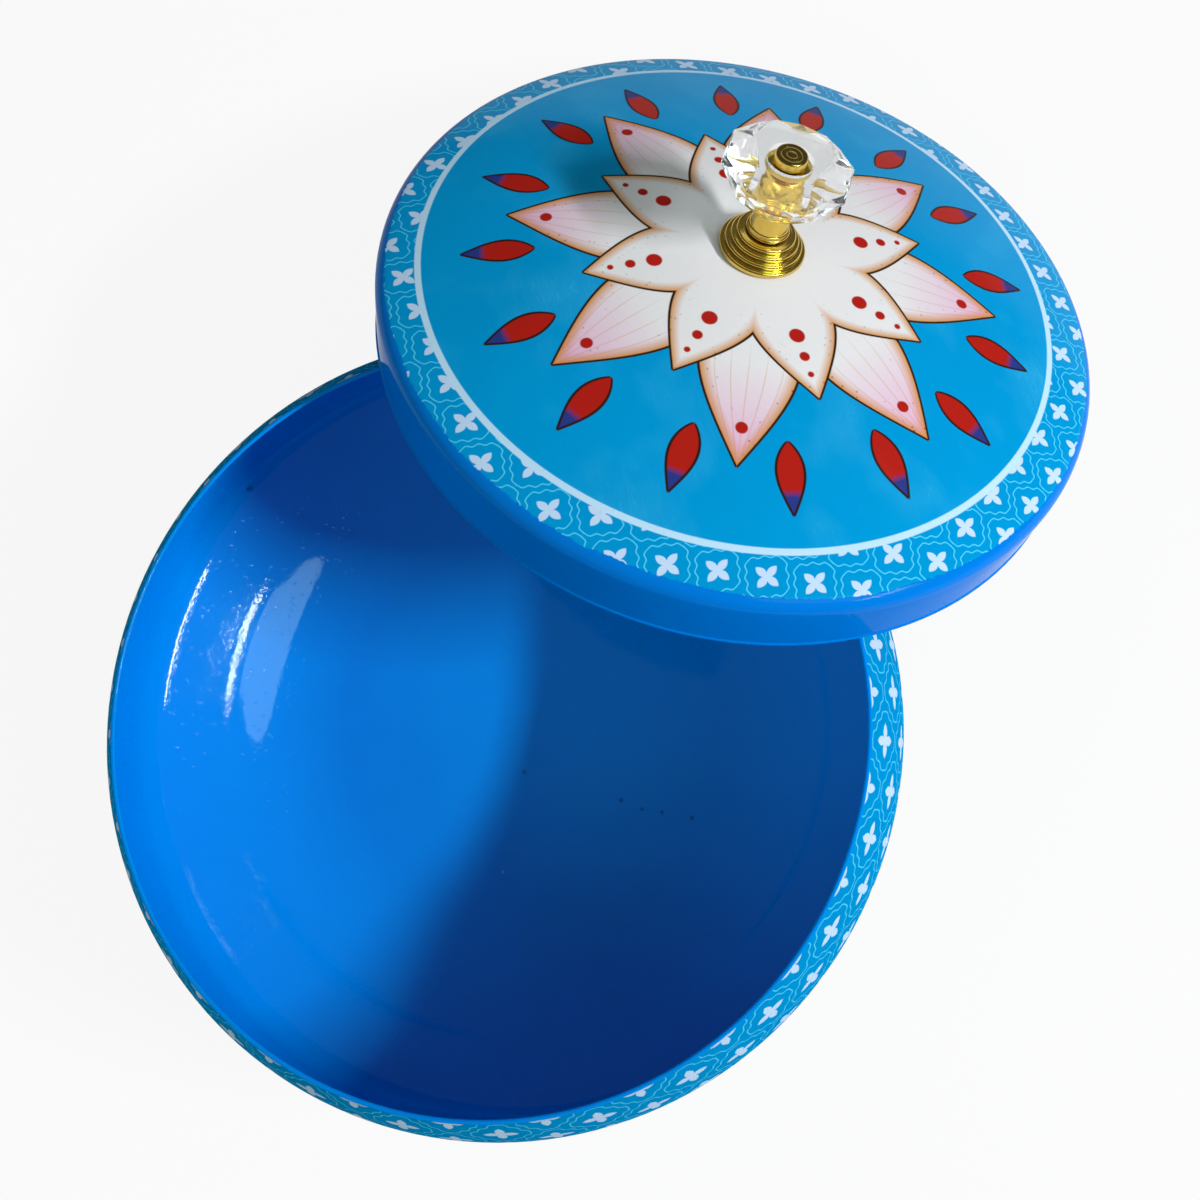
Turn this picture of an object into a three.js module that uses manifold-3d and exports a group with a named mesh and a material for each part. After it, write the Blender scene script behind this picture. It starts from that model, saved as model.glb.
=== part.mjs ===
// Round painted metal gift tin: a rounded bowl and a domed slip-on lid with a crystal knob.
// The lid is off: its far hem stands on the table and its skirt lies across the bowl's rim.
// Millimetres, +Z up, origin at the centre of the bowl's base, the lid leaning towards +Y.

import * as THREE from 'three';
import { ConvexGeometry } from 'three/addons/geometries/ConvexGeometry.js';
import { mergeVertices } from 'three/addons/utils/BufferGeometryUtils.js';
import ManifoldModule from 'manifold-3d';

// Sheet metal of the bowl and the lid
const SHEET = 0.8;
const SEAT_GAP = 0.3;

// Bowl: radii to the middle of the sheet, heights above the table
const BOWL_HEIGHT = 68;
const RIM_RADIUS = 90.5;
const BELLY_RADIUS = 103;
const BELLY_HEIGHT = 30.5;
const RIM_BEAD = 0.75;
const TURN_RADIUS = 47;
const WALL_SLOPE = THREE.MathUtils.degToRad(37.5);
const BELLY_ROUND = 10;

// Lid: its skirt slips over the rim and lands on the bowl's shoulder
const RIM_CLEARANCE = 2.4;
const SKIRT_HEIGHT = 14.2;
const HEM_BEAD = 1.1;
const SHOULDER_RADIUS = 4;
const DOME_HEIGHT = 17.8;
const SEAT_RADIUS = 12;

// Lean: half the arc of skirt that hangs inside the bowl's rim
const LEAN_ARC = THREE.MathUtils.degToRad(45.8);
const LEAN_GAP = 0.4;

// Knob, stacked on the lid's seat along one through bolt
const BOLT_RADIUS = 2;
const BOLT_CLEARANCE = 0.4;
const BOLT_END = 2.2;
const ROSETTE_RADIUS = 11;
const ROSETTE_STEPS = 4;
const ROSETTE_STEP_HEIGHT = 1.45;
const ROSETTE_STEP_WIDTH = 1.5;
const ROSETTE_ROUND = 0.7;
const NECK_RADIUS = 4.7;
const NECK_HEIGHT = 13.9;
const NECK_COLLAR_RADIUS = 5.5;
const NECK_COLLAR_HEIGHT = 1.1;
const FERRULE_RADIUS = 5.7;
const FERRULE_HEIGHT = 2.8;
const CAP_RADIUS = 3.9;
const CAP_HEIGHT = 2.6;
const CAP_CHAMFER = 0.5;
const CAP_RING_RADIUS = 1.9;
const CAP_RING_WIDTH = 0.5;
const CAP_RING_DEPTH = 0.35;

// Crystal: rings of facet corners, each turned half a facet from the next
const FACETS = 8;
const FACET_TURN = THREE.MathUtils.degToRad(-9.5);
const FOOT_RADIUS = 6.8;
const PAVILION_RADIUS = 13.4;
const PAVILION_HEIGHT = 6;
const GIRDLE_RADIUS = 16.2;
const GIRDLE_HEIGHT = 11.5;
const CROWN_RADIUS = 14.2;
const CROWN_HEIGHT = 12.9;
const TABLE_RADIUS = 9.8;
const CRYSTAL_HEIGHT = 13.6;
const SOCKET_DEPTH = 6.4;
const POCKET_DEPTH = 4.5;

// Hardware under the lid
const WASHER_RADIUS = 5.5;
const WASHER_HEIGHT = 1;
const NUT_ACROSS_FLATS = 7;
const NUT_HEIGHT = 3.2;

// Fineness of the round shapes
const SHELL_SEGMENTS = 48;
const KNOB_SEGMENTS = 24;
const ARC_STEPS = 3;
const ROUND_STEPS = 1;
const BEAD_STEPS = 6;
const PIERCE = 1;

const wasm = await ManifoldModule();
wasm.setup();

const paint = new THREE.MeshStandardMaterial({ color: 0x0a78d2, roughness: 0.22, metalness: 0 });
const brass = new THREE.MeshStandardMaterial({ color: 0xc8a03c, roughness: 0.2, metalness: 1 });
const steel = new THREE.MeshStandardMaterial({ color: 0xb9bcc0, roughness: 0.35, metalness: 1 });
const acrylic = new THREE.MeshStandardMaterial({ color: 0xeaf3f8, roughness: 0.05, metalness: 0 });

function piece(name, geometry, material) {
  const mesh = new THREE.Mesh(geometry, material);
  mesh.name = name;
  return mesh;
}

// Turns an outline of (radius, height) points about Z; the outline runs up outside and down inside.
function revolve(outline, segments) {
  return new THREE.LatheGeometry(outline, segments).rotateX(Math.PI / 2);
}

// A ring-shaped outline round a bore, closed on itself.
function boredOutline(outer, boreRadius) {
  const foot = new THREE.Vector2(boreRadius, outer[0].y);
  const head = new THREE.Vector2(boreRadius, outer[outer.length - 1].y);
  return [foot, ...outer, head, foot.clone()];
}

// Direction across a path at one of its points, lengthened at a bend so that the sheet keeps its thickness.
function acrossPath(points, index) {
  const here = points[index];
  const before = points[Math.max(index - 1, 0)];
  const after = points[Math.min(index + 1, points.length - 1)];
  const arriving = index > 0 ? here.clone().sub(before).normalize() : after.clone().sub(here).normalize();
  const leaving = index < points.length - 1 ? after.clone().sub(here).normalize() : arriving;
  const across = new THREE.Vector2(arriving.y + leaving.y, -arriving.x - leaving.x).normalize();
  return across.divideScalar(across.x * arriving.y - across.y * arriving.x);
}

// Outline of a pressed sheet that follows a path and ends in a rolled bead.
function sheetOutline(path, bead) {
  const points = path.getPoints(ARC_STEPS).filter((point, index, all) => {
    return index === 0 || point.distanceTo(all[index - 1]) > SHEET / 100;
  });
  const last = points.length - 1;
  const sides = [SHEET / 2, -SHEET / 2].map((offset) => points.map((point, index) => {
    return point.clone().addScaledVector(acrossPath(points, index), offset);
  }));
  const forward = points[last].clone().sub(points[last - 1]).normalize();
  const across = new THREE.Vector2(forward.y, -forward.x);
  const neck = Math.asin(Math.min(SHEET / 2 / bead, 1));
  const setBack = bead * Math.cos(neck);
  sides.forEach((side) => side[last].addScaledVector(forward, -setBack));
  const roll = [];
  for (let step = 1; step < BEAD_STEPS; step += 1) {
    const turn = Math.PI - neck - (step / BEAD_STEPS) * 2 * (Math.PI - neck);
    const along = -Math.cos(turn) * bead;
    const aside = Math.sin(turn) * bead;
    roll.push(points[last].clone().addScaledVector(forward, -along).addScaledVector(across, aside));
  }
  return [...sides[0], ...roll, ...sides[1].reverse()];
}

// Bowl: flat base, slow turn into a sloping wall, tight belly, and a shoulder that closes in towards the rim
function bowlPath() {
  const rimHeight = BOWL_HEIGHT - RIM_BEAD;
  const turnRise = TURN_RADIUS * (1 - Math.cos(WALL_SLOPE));
  const wallRise = BELLY_HEIGHT - SHEET / 2 - turnRise - BELLY_ROUND * Math.cos(WALL_SLOPE);
  const wallRun = wallRise / Math.tan(WALL_SLOPE);
  const bellyCentre = BELLY_RADIUS - BELLY_ROUND;
  const baseRadius = bellyCentre + (BELLY_ROUND - TURN_RADIUS) * Math.sin(WALL_SLOPE) - wallRun;
  const wallTurn = WALL_SLOPE - Math.PI / 2;
  const inward = BELLY_RADIUS - RIM_RADIUS;
  const upward = rimHeight - BELLY_HEIGHT;
  const upperRadius = (inward ** 2 + upward ** 2) / (2 * inward);
  const rimAngle = Math.asin(upward / upperRadius);
  const path = new THREE.Path();
  path.moveTo(0, SHEET / 2);
  path.lineTo(baseRadius, SHEET / 2);
  path.absarc(baseRadius, SHEET / 2 + TURN_RADIUS, TURN_RADIUS, -Math.PI / 2, wallTurn);
  path.absarc(bellyCentre, BELLY_HEIGHT, BELLY_ROUND, wallTurn, 0);
  path.absarc(BELLY_RADIUS - upperRadius, BELLY_HEIGHT, upperRadius, 0, rimAngle);
  return path;
}

const boltHole = BOLT_RADIUS + BOLT_CLEARANCE;
const skirtRadius = RIM_RADIUS + RIM_BEAD + RIM_CLEARANCE + SHEET / 2;
const skirtTop = SKIRT_HEIGHT - HEM_BEAD;
const shoulderCentre = skirtRadius - SHOULDER_RADIUS;
const domeRadius = (shoulderCentre ** 2 + DOME_HEIGHT ** 2 - SHOULDER_RADIUS ** 2)
  / (2 * (DOME_HEIGHT - SHOULDER_RADIUS));
const domeCentre = skirtTop + DOME_HEIGHT - domeRadius;
const seatHeight = domeCentre + Math.sqrt(domeRadius ** 2 - SEAT_RADIUS ** 2);

// Lid: flat seat for the knob, dome, rounded shoulder and straight skirt; height 0 is the hem's centre line
function lidPath() {
  const seatAngle = Math.acos(SEAT_RADIUS / domeRadius);
  const shoulderAngle = Math.acos(shoulderCentre / (domeRadius - SHOULDER_RADIUS));
  const path = new THREE.Path();
  path.moveTo(boltHole, seatHeight);
  path.lineTo(SEAT_RADIUS, seatHeight);
  path.absarc(0, domeCentre, domeRadius, seatAngle, shoulderAngle, true);
  path.absarc(shoulderCentre, skirtTop, SHOULDER_RADIUS, shoulderAngle, 0, true);
  path.lineTo(skirtRadius, 0);
  return path;
}

function makeBowl() {
  return revolve(sheetOutline(bowlPath(), RIM_BEAD), SHELL_SEGMENTS);
}

function makeLid() {
  const outline = sheetOutline(lidPath(), HEM_BEAD);
  return revolve([...outline, outline[0].clone()], SHELL_SEGMENTS);
}

// Rosette: round-edged steps that narrow towards the neck
function makeRosette() {
  const outer = [];
  for (let step = 0; step < ROSETTE_STEPS; step += 1) {
    const radius = ROSETTE_RADIUS - step * ROSETTE_STEP_WIDTH;
    const top = (step + 1) * ROSETTE_STEP_HEIGHT;
    const round = new THREE.Path();
    round.moveTo(radius, top - ROSETTE_STEP_HEIGHT);
    round.absarc(radius - ROSETTE_ROUND, top - ROSETTE_ROUND, ROSETTE_ROUND, 0, Math.PI / 2);
    outer.push(...round.getPoints(ROUND_STEPS));
  }
  return revolve(boredOutline(outer, boltHole), KNOB_SEGMENTS);
}

function makeNeck() {
  const outer = [
    new THREE.Vector2(NECK_COLLAR_RADIUS, 0),
    new THREE.Vector2(NECK_COLLAR_RADIUS, NECK_COLLAR_HEIGHT),
    new THREE.Vector2(NECK_RADIUS, NECK_COLLAR_HEIGHT + NECK_COLLAR_RADIUS - NECK_RADIUS),
    new THREE.Vector2(NECK_RADIUS, NECK_HEIGHT),
  ];
  return revolve(boredOutline(outer, boltHole), KNOB_SEGMENTS);
}

function makeRing(radius, height) {
  const outer = [new THREE.Vector2(radius, 0), new THREE.Vector2(radius, height)];
  return revolve(boredOutline(outer, boltHole), KNOB_SEGMENTS);
}

function toSolid(geometry) {
  geometry.deleteAttribute('normal');
  geometry.deleteAttribute('uv');
  const merged = mergeVertices(geometry);
  return new wasm.Manifold(new wasm.Mesh({
    numProp: 3,
    vertProperties: new Float32Array(merged.attributes.position.array),
    triVerts: new Uint32Array(merged.index.array),
  }));
}

function toGeometry(solid) {
  const mesh = solid.getMesh();
  const geometry = new THREE.BufferGeometry();
  geometry.setAttribute('position', new THREE.BufferAttribute(mesh.vertProperties, 3));
  geometry.setIndex(new THREE.BufferAttribute(mesh.triVerts, 1));
  geometry.computeVertexNormals();
  return geometry;
}

// Crystal: an eight-sided cut body, bored for the bolt, with a socket for the neck and a pocket for the ferrule
function makeCrystal() {
  const rings = [
    [FOOT_RADIUS, 0],
    [PAVILION_RADIUS, PAVILION_HEIGHT],
    [GIRDLE_RADIUS, GIRDLE_HEIGHT],
    [CROWN_RADIUS, CROWN_HEIGHT],
    [TABLE_RADIUS, CRYSTAL_HEIGHT],
  ];
  const corners = rings.flatMap(([radius, height], ring) => Array.from({ length: FACETS }, (_, side) => {
    const angle = FACET_TURN + ((side + (ring % 2) / 2) / FACETS) * 2 * Math.PI;
    return new THREE.Vector3(Math.cos(angle) * radius, Math.sin(angle) * radius, height);
  }));
  const socketRadius = NECK_RADIUS + SEAT_GAP;
  const pocketRadius = FERRULE_RADIUS + SEAT_GAP;
  const pocketFloor = CRYSTAL_HEIGHT - POCKET_DEPTH;
  const bore = [
    new THREE.Vector2(0, -PIERCE),
    new THREE.Vector2(socketRadius, -PIERCE),
    new THREE.Vector2(socketRadius, SOCKET_DEPTH),
    new THREE.Vector2(boltHole, SOCKET_DEPTH),
    new THREE.Vector2(boltHole, pocketFloor),
    new THREE.Vector2(pocketRadius, pocketFloor),
    new THREE.Vector2(pocketRadius, CRYSTAL_HEIGHT + PIERCE),
    new THREE.Vector2(0, CRYSTAL_HEIGHT + PIERCE),
  ];
  const body = toSolid(new ConvexGeometry(corners));
  return toGeometry(body.subtract(toSolid(revolve(bore, KNOB_SEGMENTS))));
}

// Through bolt: its head is the ringed cap that shows on top of the knob
function makeBolt(shankLength) {
  const ringInside = CAP_RING_RADIUS - CAP_RING_WIDTH / 2;
  const ringOutside = CAP_RING_RADIUS + CAP_RING_WIDTH / 2;
  const outline = [
    new THREE.Vector2(0, -shankLength),
    new THREE.Vector2(BOLT_RADIUS, -shankLength),
    new THREE.Vector2(BOLT_RADIUS, 0),
    new THREE.Vector2(CAP_RADIUS, 0),
    new THREE.Vector2(CAP_RADIUS, CAP_HEIGHT - CAP_CHAMFER),
    new THREE.Vector2(CAP_RADIUS - CAP_CHAMFER, CAP_HEIGHT),
    new THREE.Vector2(ringOutside, CAP_HEIGHT),
    new THREE.Vector2(CAP_RING_RADIUS, CAP_HEIGHT - CAP_RING_DEPTH),
    new THREE.Vector2(ringInside, CAP_HEIGHT),
    new THREE.Vector2(0, CAP_HEIGHT),
  ];
  return revolve(outline, KNOB_SEGMENTS);
}

function makeNut() {
  const cornerRadius = NUT_ACROSS_FLATS / Math.sqrt(3);
  const corners = Array.from({ length: 6 }, (_, side) => {
    const angle = (side / 6) * 2 * Math.PI;
    return new THREE.Vector2(Math.cos(angle) * cornerRadius, Math.sin(angle) * cornerRadius);
  });
  const hexagon = new THREE.Shape(corners);
  hexagon.holes.push(new THREE.Path().absarc(0, 0, boltHole, 0, 2 * Math.PI, true));
  return new THREE.ExtrudeGeometry(hexagon, {
    depth: NUT_HEIGHT,
    bevelEnabled: false,
    curveSegments: KNOB_SEGMENTS,
  });
}

// Knob: heights above the middle of the lid's sheet at the seat
function makeKnob() {
  const rosetteFoot = SHEET / 2 + SEAT_GAP;
  const neckFoot = rosetteFoot + ROSETTE_STEPS * ROSETTE_STEP_HEIGHT + SEAT_GAP;
  const crystalFoot = neckFoot + NECK_HEIGHT + SEAT_GAP - SOCKET_DEPTH;
  const ferruleFoot = crystalFoot + CRYSTAL_HEIGHT - POCKET_DEPTH + SEAT_GAP;
  const capFoot = ferruleFoot + FERRULE_HEIGHT + SEAT_GAP;
  const washerFoot = -SHEET / 2 - SEAT_GAP - WASHER_HEIGHT;
  const nutFoot = washerFoot - SEAT_GAP - NUT_HEIGHT;
  const shankLength = capFoot - nutFoot + BOLT_END;
  const stack = [
    [rosetteFoot, piece('knob_rosette', makeRosette(), brass)],
    [neckFoot, piece('knob_neck', makeNeck(), brass)],
    [crystalFoot, piece('knob_crystal', makeCrystal(), acrylic)],
    [ferruleFoot, piece('knob_ferrule', makeRing(FERRULE_RADIUS, FERRULE_HEIGHT), brass)],
    [capFoot, piece('knob_bolt', makeBolt(shankLength), brass)],
    [washerFoot, piece('knob_washer', makeRing(WASHER_RADIUS, WASHER_HEIGHT), steel)],
    [nutFoot, piece('knob_nut', makeNut(), steel)],
  ];
  const knob = new THREE.Group();
  stack.forEach(([foot, mesh]) => {
    mesh.position.z = foot;
    knob.add(mesh);
  });
  return knob;
}

// Lean: the hem's far side stands on the table, and the hem crosses the rim on both sides LEAN_GAP above it
function leanLid(lid) {
  const rimHeight = BOWL_HEIGHT - RIM_BEAD;
  const crossing = rimHeight + RIM_BEAD + LEAN_GAP + HEM_BEAD;
  const tilt = Math.asin((crossing - HEM_BEAD) / (skirtRadius * (1 + Math.cos(LEAN_ARC))));
  const crossingSide = skirtRadius * Math.sin(LEAN_ARC);
  const crossingReach = Math.sqrt(RIM_RADIUS ** 2 - crossingSide ** 2);
  lid.position.y = crossingReach + skirtRadius * Math.cos(LEAN_ARC) * Math.cos(tilt);
  lid.position.z = HEM_BEAD + skirtRadius * Math.sin(tilt);
  lid.rotation.x = -tilt;
}

const knob = makeKnob();
knob.position.z = seatHeight;

const lid = new THREE.Group();
lid.add(piece('lid_shell', makeLid(), paint), knob);
leanLid(lid);

const giftTin = new THREE.Group();
giftTin.add(piece('bowl_shell', makeBowl(), paint), lid);

export default giftTin;
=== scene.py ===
import math

import bpy
from bpy.props import FloatProperty, FloatVectorProperty, IntProperty, PointerProperty
from bpy.types import Operator, Panel, PropertyGroup
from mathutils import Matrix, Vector


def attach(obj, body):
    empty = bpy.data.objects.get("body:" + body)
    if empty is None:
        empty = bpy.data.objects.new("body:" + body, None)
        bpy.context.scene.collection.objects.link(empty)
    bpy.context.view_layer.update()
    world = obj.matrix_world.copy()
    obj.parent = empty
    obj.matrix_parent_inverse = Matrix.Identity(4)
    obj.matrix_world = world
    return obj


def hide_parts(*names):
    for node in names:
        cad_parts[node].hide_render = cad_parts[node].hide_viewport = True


bl_info = {
    "name": "Printed gift tin",
    "version": (1, 0, 0),
    "blender": (4, 5, 0),
    "location": "View3D > Sidebar > Gift Tin",
    "description": "Models a printed metal gift tin with its lid leaning on the bowl and a crystal knob",
    "category": "Add Mesh",
}

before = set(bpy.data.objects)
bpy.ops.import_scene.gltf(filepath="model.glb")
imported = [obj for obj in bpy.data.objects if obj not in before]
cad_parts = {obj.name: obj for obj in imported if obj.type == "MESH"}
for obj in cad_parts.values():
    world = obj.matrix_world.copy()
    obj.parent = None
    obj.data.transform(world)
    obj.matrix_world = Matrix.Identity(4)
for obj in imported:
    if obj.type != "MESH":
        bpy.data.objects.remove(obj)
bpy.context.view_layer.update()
MM = 0.001


def srgb(red, green, blue):
    """Linear colour of a swatch given in 8-bit screen values."""
    swatch = [value / 255 for value in (red, green, blue)]
    return tuple(v / 12.92 if v <= 0.04045 else ((v + 0.055) / 1.055) ** 2.4 for v in swatch)


def length(name, description, millimetres):
    return FloatProperty(name=name, description=description, default=millimetres * MM,
                         min=0, unit="LENGTH", precision=5)


def angle(name, description, degrees):
    return FloatProperty(name=name, description=description, default=math.radians(degrees),
                         subtype="ANGLE")


def count(name, description, number):
    return IntProperty(name=name, description=description, default=number, min=3)


def colour(name, description, red, green, blue):
    return FloatVectorProperty(name=name, description=description, size=3, min=0, max=1,
                               default=srgb(red, green, blue), subtype="COLOR")


# Sizes and colours


class BowlSizes(PropertyGroup):
    sheet: length("Sheet", "Thickness of the pressed sheet", 0.8)
    height: length("Height", "Height of the bowl over its rim", 68)
    rim_radius: length("Rim radius", "Radius to the middle of the sheet at the rim", 90.5)
    rim_bead: length("Rim bead", "Radius of the rolled rim", 0.55)
    belly_radius: length("Belly radius", "Radius to the middle of the sheet at the belly", 103)
    belly_height: length("Belly height", "Height of the belly over the table", 30.5)
    turn_radius: length("Turn radius", "Rounding between the base and the lower wall", 47)
    wall_slope: angle("Wall slope", "Slope of the lower wall where it meets the belly", 39.3)
    belly_round: length("Belly round", "Rounding from the lower wall to the belly", 10)
    cells_round: count("Cells round", "Lattice cells round the wall", 26)
    cell_drop: length("Cell drop", "Height of one lattice cell down the wall", 14.4)


class LidSizes(PropertyGroup):
    skirt_radius: length("Skirt radius", "Radius to the middle of the sheet at the skirt", 94.05)
    skirt_height: length("Skirt height", "Height of the skirt with its hem", 14.2)
    hem_bead: length("Hem bead", "Depth of the hem below the skirt", 1.1)
    hem_roll: length("Hem roll", "Radius of the rolled hem", 0.7)
    shoulder_radius: length("Shoulder radius", "Rounding between the skirt and the dome", 4)
    dome_height: length("Dome height", "Rise of the dome over the skirt", 17.8)
    seat_radius: length("Seat radius", "Radius of the flat seat under the knob", 12)
    bolt_hole: length("Bolt hole", "Radius of the hole for the knob's bolt", 2.4)
    tilt: angle("Tilt", "Lean of the lid from level", 25.3738)
    place: FloatVectorProperty(name="Place", description="Middle of the hem where the lid leans",
                               default=(0, 0.1196091, 0.0414025), size=3, unit="LENGTH", precision=5)
    ring_radius: length("Ring radius", "Radius of the pale ring inside the border", 82.2)
    ring_width: length("Ring width", "Width of the pale ring", 1.55)
    print_edge: length("Print edge", "Radius where the print ends on the shoulder", 92.1)


class KnobSizes(PropertyGroup):
    seat_gap: length("Seat gap", "Gap between stacked pieces", 0.3)
    rosette_radius: length("Rosette radius", "Radius of the stepped foot", 11)
    rosette_height: length("Rosette height", "Height of the stepped foot", 5.8)
    rosette_steps: count("Rosette steps", "Ridges on the stepped foot", 4)
    neck_radius: length("Neck radius", "Radius of the neck", 4.7)
    neck_collar: length("Neck collar", "Radius of the collar at the neck's foot", 5.5)
    neck_height: length("Neck height", "Height of the neck with the part inside the crystal", 13.9)
    socket_depth: length("Socket depth", "Depth of the neck inside the crystal", 6.4)
    crystal_height: length("Crystal height", "Height of the cut crystal", 13.6)
    pocket_depth: length("Pocket depth", "Depth of the ferrule's pocket in the crystal", 4.5)
    facets: count("Facets", "Sides of the cut crystal", 8)
    facet_turn: angle("Facet turn", "Turn of the crystal about the bolt", -9.5)
    facet_edge: length("Facet edge", "Width of the polished facet edges", 0.12)
    ferrule_radius: length("Ferrule radius", "Radius of the sunk brass ring", 5.7)
    ferrule_height: length("Ferrule height", "Height of the sunk brass ring", 2.8)
    cap_radius: length("Cap radius", "Radius of the bolt's cap", 3.9)
    cap_height: length("Cap height", "Height of the bolt's cap", 2.6)
    bolt_radius: length("Bolt radius", "Radius of the bolt's shank", 2)
    bolt_end: length("Bolt end", "Length of the bolt past the nut", 2.2)
    washer_radius: length("Washer radius", "Radius of the washer under the lid", 5.5)
    washer_height: length("Washer height", "Thickness of the washer", 1)
    nut_across_flats: length("Nut across flats", "Width of the hexagon nut", 7)
    nut_height: length("Nut height", "Height of the hexagon nut", 3.2)


class TinColours(PropertyGroup):
    enamel: colour("Enamel", "Plain paint inside the bowl", 0, 131, 222)
    rim: colour("Rim", "Paint on the rim and under the base", 0, 122, 212)
    skirt: colour("Skirt", "Plain paint on the lid's skirt and inside", 0, 112, 206)
    ground: colour("Ground", "Printed ground of the lid", 0, 144, 206)
    border: colour("Border", "Printed ground of the lid's lattice", 0, 142, 204)
    # Painted shade: a darker copy of the border's ground, for the dimmer light on the bowl's side
    wall: colour("Wall", "Printed ground of the bowl's lattice", 0, 126, 184)
    line: colour("Line", "Lattice lines", 84, 200, 240)
    flower: colour("Flower", "Lattice flowers", 182, 208, 238)
    ring: colour("Ring", "Ring inside the border", 178, 214, 240)
    petal: colour("Petal", "White of the lotus petals", 219, 219, 223)
    ochre: colour("Ochre", "Shaded edge of the petals", 200, 132, 34)
    outline: colour("Outline", "Drawn lines of the lotus", 44, 26, 18)
    red: colour("Red", "Dots and buds", 168, 30, 22)
    indigo: colour("Indigo", "Tips of the buds", 40, 54, 128)
    pink: colour("Pink", "Blush of the outer petals", 214, 164, 200)
    brass: colour("Brass", "Turned brass", 236, 200, 96)
    steel: colour("Steel", "Washer and nut", 186, 188, 192)
    crystal: colour("Crystal", "Clear acrylic", 250, 252, 255)
    floor: colour("Floor", "Table top", 204, 204, 206)


class GiftTin(PropertyGroup):
    bowl: PointerProperty(type=BowlSizes)
    lid: PointerProperty(type=LidSizes)
    knob: PointerProperty(type=KnobSizes)
    colours: PointerProperty(type=TinColours)


# Shader expressions


class Value:
    """A number in a material: arithmetic on it adds Math nodes."""

    def __init__(self, graph, socket):
        self.graph = graph
        self.socket = socket

    def math(self, operation, *others):
        values = dict(enumerate((self, *others)))
        return self.graph.node("ShaderNodeMath", values, operation=operation)

    def reflected(self, operation, first):
        return self.graph.node("ShaderNodeMath", {0: first, 1: self}, operation=operation)

    def __add__(self, other):
        return self.math("ADD", other)

    def __radd__(self, other):
        return self.reflected("ADD", other)

    def __sub__(self, other):
        return self.math("SUBTRACT", other)

    def __rsub__(self, other):
        return self.reflected("SUBTRACT", other)

    def __mul__(self, other):
        return self.math("MULTIPLY", other)

    def __rmul__(self, other):
        return self.reflected("MULTIPLY", other)

    def __truediv__(self, other):
        return self.math("DIVIDE", other)

    def __rtruediv__(self, other):
        return self.reflected("DIVIDE", other)

    def __pow__(self, other):
        return self.math("POWER", other)

    def __neg__(self):
        return self.math("MULTIPLY", -1)

    def __abs__(self):
        return self.math("ABSOLUTE")

    def sin(self):
        return self.math("SINE")

    def cos(self):
        return self.math("COSINE")

    def sqrt(self):
        return self.math("SQRT")

    def fold(self):
        """Distance from the nearest whole number, from -0.5 to 0.5."""
        return (self + 0.5).math("FRACT") - 0.5

    def most(self, other):
        return self.math("MAXIMUM", other)

    def least(self, other):
        return self.math("MINIMUM", other)

    def clamp(self):
        return self.graph.node("ShaderNodeClamp", {0: self})

    def below(self, limit, soft):
        """1 where the value is below the limit, 0 above it, over a soft edge."""
        return ((limit - self) / soft + 0.5).clamp()

    def above(self, limit, soft):
        return ((self - limit) / soft + 0.5).clamp()


class Graph:
    """The node tree of a material or of the world."""

    def __init__(self, owner, shader="Principled BSDF"):
        owner.use_nodes = True
        self.owner = owner
        self.tree = owner.node_tree
        self.shader = self.tree.nodes[shader]

    def node(self, kind, inputs=None, output=0, **settings):
        """Adds a node with its settings and its inputs, and returns one of its outputs."""
        made = self.tree.nodes.new(kind)
        for key, setting in settings.items():
            setattr(made, key, setting)
        for key, value in (inputs or {}).items():
            self.feed(made.inputs[key], value)
        return Value(self, made.outputs[output])

    def feed(self, socket, value):
        if isinstance(value, Value):
            self.tree.links.new(value.socket, socket)
        elif socket.type == "RGBA" and len(value) == 3:
            socket.default_value = (*value, 1)
        else:
            socket.default_value = value

    def finish(self, **inputs):
        """Sets the shader's sockets, such as Base_Color, and returns what it belongs to."""
        for key, value in inputs.items():
            self.feed(self.shader.inputs[key.replace("_", " ")], value)
        return self.owner

    def mix(self, mask, first, second):
        """Colour that goes from the first to the second as the mask goes from 0 to 1."""
        return self.node("ShaderNodeMix", {0: mask, 6: first, 7: second}, 2, data_type="RGBA")

    def place(self, centre=(0, 0, 0), turn=(0, 0, 0)):
        """Object coordinates about a centre, turned with it, in millimetres."""
        coordinates = self.node("ShaderNodeTexCoord", output="Object")
        return self.node("ShaderNodeMapping", {0: coordinates, 1: centre, 2: turn, 3: (MM, MM, MM)},
                         vector_type="TEXTURE")

    def place_on_lid(self, lid):
        return self.place(lid.place, (-lid.tilt, 0, 0))

    def split(self, vector):
        made = self.node("ShaderNodeSeparateXYZ", {0: vector}).socket.node
        return [Value(self, made.outputs[axis]) for axis in range(3)]

    def noise(self, vector, scale, detail=3.0):
        return self.node("ShaderNodeTexNoise", {"Vector": vector, "Scale": scale, "Detail": detail,
                                                "Roughness": 0.55})

    def bump(self, height, strength, distance):
        return self.node("ShaderNodeBump", {"Strength": strength, "Distance": distance, "Height": height})

    def specks(self, vector, spacing, radius, share):
        """Sparse round specks: 1 on a speck, 0 elsewhere."""
        cells = self.node("ShaderNodeTexVoronoi", {"Vector": vector, "Scale": 1 / spacing})
        chance = Value(self, cells.socket.node.outputs["Color"])
        return cells.below(radius / spacing, 0.3 * radius / spacing) * chance.above(1 - share, 0.02)

    def ray(self, kind):
        """1 for rays of the kind, such as Is Camera Ray, and 0 for others."""
        return self.node("ShaderNodeLightPath", output=kind)


def new_graph(name):
    return Graph(bpy.data.materials.new(name))


def reach(x, y):
    """Distance from the middle."""
    return (x * x + y * y).sqrt()


# Printed patterns, in millimetres

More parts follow.
